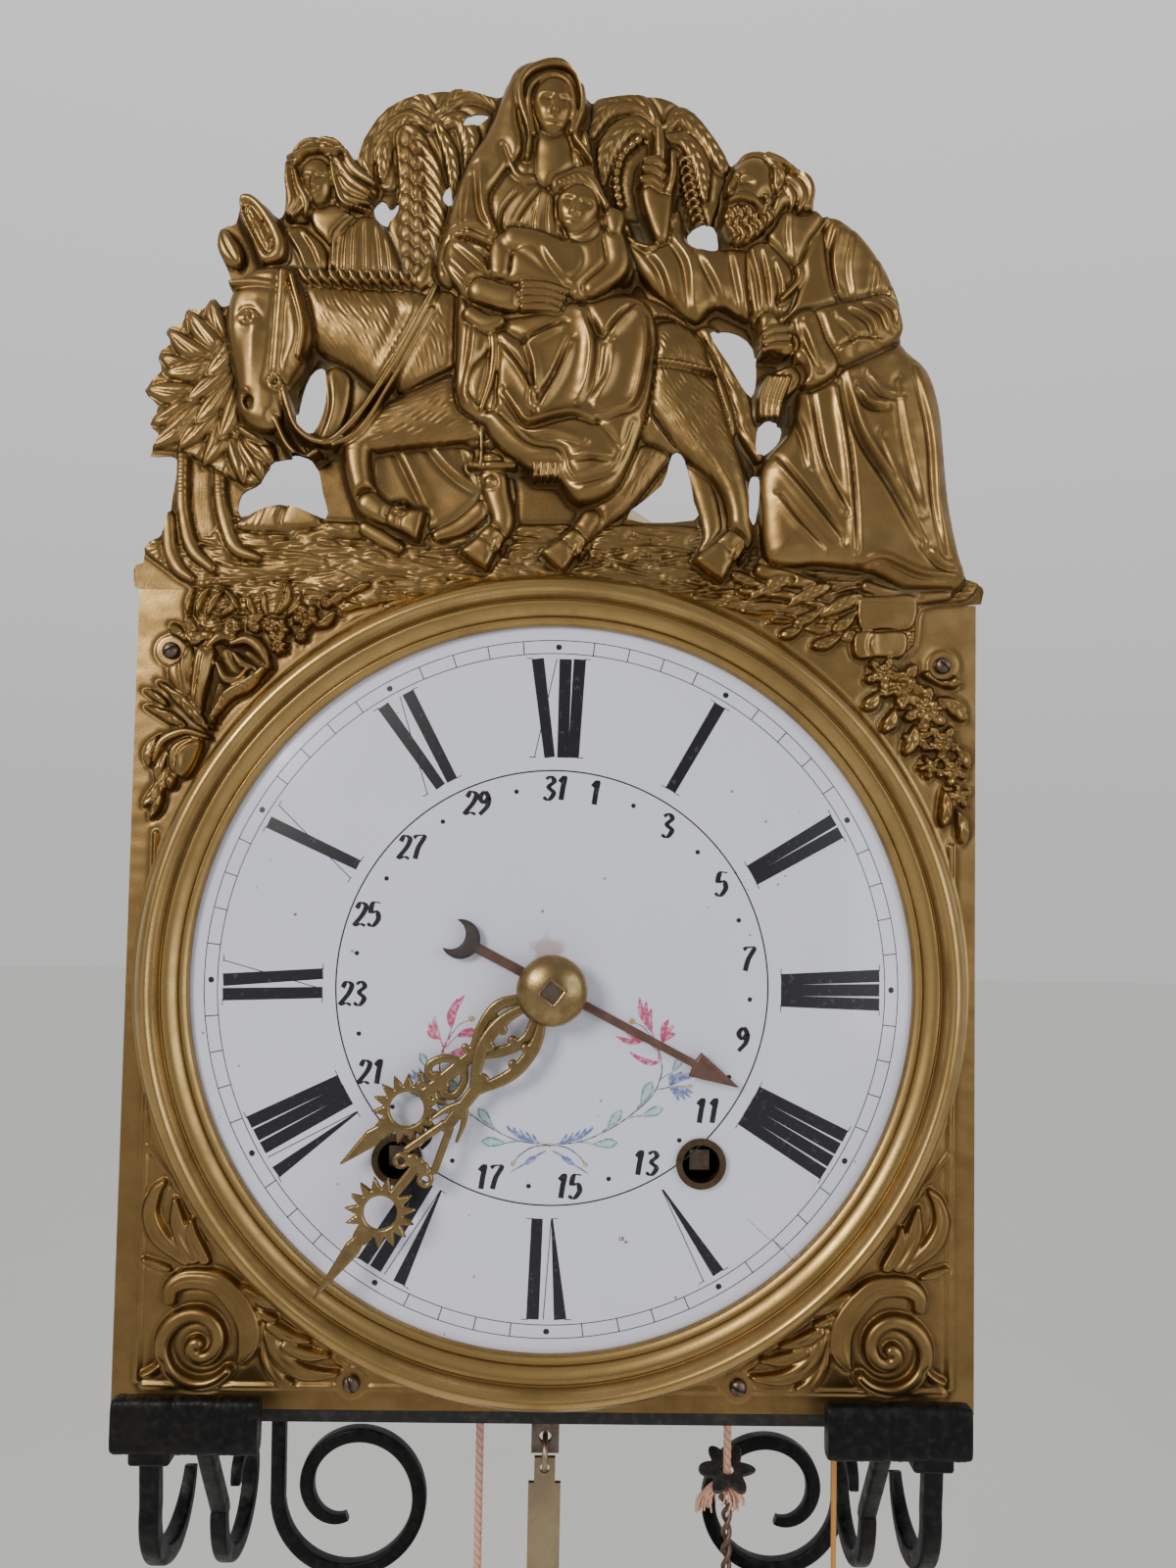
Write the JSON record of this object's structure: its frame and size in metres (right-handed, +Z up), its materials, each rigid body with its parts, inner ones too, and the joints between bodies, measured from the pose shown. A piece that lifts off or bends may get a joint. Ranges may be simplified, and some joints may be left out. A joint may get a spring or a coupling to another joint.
{
  "type": "comtoise clock",
  "caption": "Wall-hung comtoise clock with pressed brass front, domed enamel dial, date hand, iron cage movement, pendulum, weights and scrolled iron bracket.",
  "frame": {"origin": "middle of the screw holes of the bracket's wall bar, on the wall face", "axes": "+Z up, +Y into the wall, +X to the right as seen from the front"},
  "size_m": [0.2632, 0.1618, 0.9247],
  "materials": {
    "cage_iron": "black lacquered sheet and bar iron, worn",
    "forged_iron": "black painted hammered wrought iron",
    "front_brass": "aged pressed brass, gilt on the high parts",
    "hand_brass": "cast and pierced brass",
    "wheel_brass": "cut brass",
    "worn_steel": "grey steel with brown rust",
    "date_steel": "rust-brown steel",
    "dial_enamel": "glossy white vitreous enamel on copper",
    "bell_metal": "cast bell bronze",
    "weight_iron": "dark cast iron",
    "weight_cord": "twisted salmon cord",
    "repeat_cord": "thin orange braid",
    "knob_wood": "turned wood",
    "strip_brass": "dull grey-brown brass",
    "bob_brass": "pressed brass"
  },
  "bodies": {
    "clock_frame": {"bottom_plate": "cage_iron", "top_plate": "cage_iron", "corner_pillars": "cage_iron", "pillar_nuts": "cage_iron", "front_bars": "cage_iron", "rear_bars": "cage_iron", "back_panel": "cage_iron", "dial": "dial_enamel", "dial_feet": "wheel_brass", "dial_surround": "front_brass", "fronton": "front_brass", "surround_screws": "worn_steel", "winding_ferrules": "hand_brass", "motion_bridge": "wheel_brass", "suspension_cock": "wheel_brass", "repeat_post": "cage_iron", "bell": "bell_metal", "bell_post": "worn_steel", "door_hinge_pins": "worn_steel", "bracket_back_bar": "forged_iron", "bracket_arms": "forged_iron", "bracket_scrolls": "forged_iron"},
    "left_door_leaf": {"left_door": "cage_iron"},
    "right_door_leaf": {"right_door": "cage_iron"},
    "minute_group": {"minute_arbor": "worn_steel", "minute_hand": "hand_brass", "hand_boss": "hand_brass"},
    "hour_group": {"hour_wheel": "wheel_brass", "hour_hand": "hand_brass"},
    "date_group": {"date_wheel": "wheel_brass", "date_hand": "date_steel"},
    "idler_group": {"date_idler": "wheel_brass"},
    "drive_group": {"drive_arbor": "worn_steel", "centre_wheel": "wheel_brass"},
    "third_group": {"third_wheel": "wheel_brass"},
    "escape_group": {"escape_wheel": "wheel_brass"},
    "going_great_group": {"going_great_wheel": "wheel_brass"},
    "going_barrel_group": {"going_barrel": "worn_steel", "going_winding": "weight_cord"},
    "going_weight_group": {"going_weight": "weight_iron", "going_weight_hook": "worn_steel", "going_cord": "weight_cord"},
    "strike_great_group": {"strike_great_wheel": "wheel_brass"},
    "strike_barrel_group": {"strike_barrel": "worn_steel", "strike_winding": "weight_cord"},
    "strike_weight_group": {"strike_weight": "weight_iron", "strike_weight_hook": "worn_steel", "strike_cord": "weight_cord"},
    "pin_group": {"pin_wheel": "wheel_brass"},
    "warning_group": {"warning_wheel": "wheel_brass"},
    "fly_group": {"fly": "wheel_brass"},
    "hammer_group": {"hammer": "worn_steel"},
    "rack_group": {"strike_rack": "worn_steel"},
    "lever_group": {"repeat_lever": "worn_steel"},
    "pull_group": {"repeat_cord": "repeat_cord", "pull_knob": "knob_wood"},
    "anchor_group": {"anchor": "worn_steel"},
    "pendulum_group": {"pendulum_rod": "worn_steel", "pendulum_strip": "strip_brass", "pendulum_bob": "bob_brass"}
  },
  "joints": [
    {"name": "drive_spin", "type": "hinge", "parent": "clock_frame", "child": "drive_group", "pos_m": [-0.0312, -0.063, 0.1592], "axis": [0, 1, 0], "continuous": true},
    {"name": "minute_spin", "type": "hinge", "parent": "clock_frame", "child": "minute_group", "pos_m": [0, -0.063, 0.1592], "axis": [0, 1, 0], "continuous": true},
    {"name": "hour_spin", "type": "hinge", "parent": "clock_frame", "child": "hour_group", "pos_m": [0, -0.063, 0.1592], "axis": [0, 1, 0], "continuous": true},
    {"name": "date_spin", "type": "hinge", "parent": "clock_frame", "child": "date_group", "pos_m": [0, -0.063, 0.1592], "axis": [0, 1, 0], "continuous": true},
    {"name": "idler_spin", "type": "hinge", "parent": "clock_frame", "child": "idler_group", "pos_m": [0.04, -0.063, 0.1592], "axis": [0, 1, 0], "continuous": true},
    {"name": "third_spin", "type": "hinge", "parent": "clock_frame", "child": "third_group", "pos_m": [-0.024, -0.063, 0.1932], "axis": [0, 1, 0], "continuous": true},
    {"name": "escape_spin", "type": "hinge", "parent": "clock_frame", "child": "escape_group", "pos_m": [0, -0.063, 0.2152], "axis": [0, 1, 0], "continuous": true},
    {"name": "going_great_spin", "type": "hinge", "parent": "clock_frame", "child": "going_great_group", "pos_m": [-0.0454, -0.063, 0.1072], "axis": [0, 1, 0], "continuous": true},
    {"name": "pin_spin", "type": "hinge", "parent": "clock_frame", "child": "pin_group", "pos_m": [0.0454, -0.063, 0.1692], "axis": [0, 1, 0], "continuous": true},
    {"name": "strike_great_spin", "type": "hinge", "parent": "clock_frame", "child": "strike_great_group", "pos_m": [0.0454, -0.063, 0.1072], "axis": [0, 1, 0], "continuous": true},
    {"name": "warning_spin", "type": "hinge", "parent": "clock_frame", "child": "warning_group", "pos_m": [0.0454, -0.063, 0.2012], "axis": [0, 1, 0], "continuous": true},
    {"name": "fly_spin", "type": "hinge", "parent": "clock_frame", "child": "fly_group", "pos_m": [0.0454, -0.063, 0.224], "axis": [0, 1, 0], "continuous": true},
    {"name": "going_weight_fall", "type": "slide", "parent": "clock_frame", "child": "going_weight_group", "axis": [0, 0, 1], "range_m": [-0.9, 0.05], "deforming": ["going_cord"]},
    {"name": "going_barrel_turn", "type": "hinge", "parent": "clock_frame", "child": "going_barrel_group", "pos_m": [-0.0454, -0.063, 0.1072], "axis": [0, 1, 0], "range_deg": [-137.4, 2456.5]},
    {"name": "strike_weight_fall", "type": "slide", "parent": "clock_frame", "child": "strike_weight_group", "axis": [0, 0, 1], "range_m": [-0.95, 0], "deforming": ["strike_cord"]},
    {"name": "strike_barrel_turn", "type": "hinge", "parent": "clock_frame", "child": "strike_barrel_group", "pos_m": [0.0454, -0.063, 0.1072], "axis": [0, 1, 0], "range_deg": [-1, 2593]},
    {"name": "pendulum_swing", "type": "hinge", "parent": "clock_frame", "child": "pendulum_group", "pos_m": [0, -0.11, 0.24348], "axis": [0, 1, 0], "range_deg": [-3, 3]},
    {"name": "anchor_rock", "type": "hinge", "parent": "clock_frame", "child": "anchor_group", "pos_m": [0, -0.093, 0.24348], "axis": [0, 1, 0], "range_deg": [-3, 3]},
    {"name": "hammer_swing", "type": "hinge", "parent": "clock_frame", "child": "hammer_group", "pos_m": [0.064, -0.027, 0.1592], "axis": [0, 0, 1], "range_deg": [0, 10]},
    {"name": "rack_fall", "type": "slide", "parent": "clock_frame", "child": "rack_group", "axis": [0, 0, 1], "range_m": [-0.012, 0]},
    {"name": "repeat_pull", "type": "slide", "parent": "clock_frame", "child": "pull_group", "axis": [0, 0, 1], "range_m": [-0.004, 0], "stiffness_N_per_m": 150, "springref_m": 0.0015},
    {"name": "lever_turn", "type": "hinge", "parent": "clock_frame", "child": "lever_group", "pos_m": [0.08, -0.073, 0.0542], "axis": [0, 1, 0], "range_deg": [0, 10.2]},
    {"name": "left_door_swing", "type": "hinge", "parent": "clock_frame", "child": "left_door_leaf", "pos_m": [-0.1264, -0.011, 0.1592], "axis": [0, 0, -1], "range_deg": [0, 95]},
    {"name": "right_door_swing", "type": "hinge", "parent": "clock_frame", "child": "right_door_leaf", "pos_m": [0.1264, -0.011, 0.1592], "axis": [0, 0, 1], "range_deg": [0, 95]}
  ],
  "couplings": [
    {"joint": "going_great_spin", "follows": "drive_spin", "ratio": -0.083333},
    {"joint": "third_spin", "follows": "drive_spin", "ratio": -10},
    {"joint": "escape_spin", "follows": "drive_spin", "ratio": 75},
    {"joint": "minute_spin", "follows": "drive_spin", "ratio": -1},
    {"joint": "hour_spin", "follows": "drive_spin", "ratio": -0.083333},
    {"joint": "idler_spin", "follows": "drive_spin", "ratio": 0.016667},
    {"joint": "date_spin", "follows": "drive_spin", "ratio": -0.0013441},
    {"joint": "strike_great_spin", "follows": "pin_spin", "ratio": -0.11111},
    {"joint": "warning_spin", "follows": "pin_spin", "ratio": -7.5},
    {"joint": "fly_spin", "follows": "pin_spin", "ratio": 53.571},
    {"joint": "going_barrel_turn", "follows": "going_weight_fall", "rad_per_m": -47.619},
    {"joint": "strike_barrel_turn", "follows": "strike_weight_fall", "rad_per_m": -47.619},
    {"joint": "anchor_rock", "follows": "pendulum_swing", "ratio": 1},
    {"joint": "lever_turn", "follows": "repeat_pull", "rad_per_m": -43.478}
  ]
}
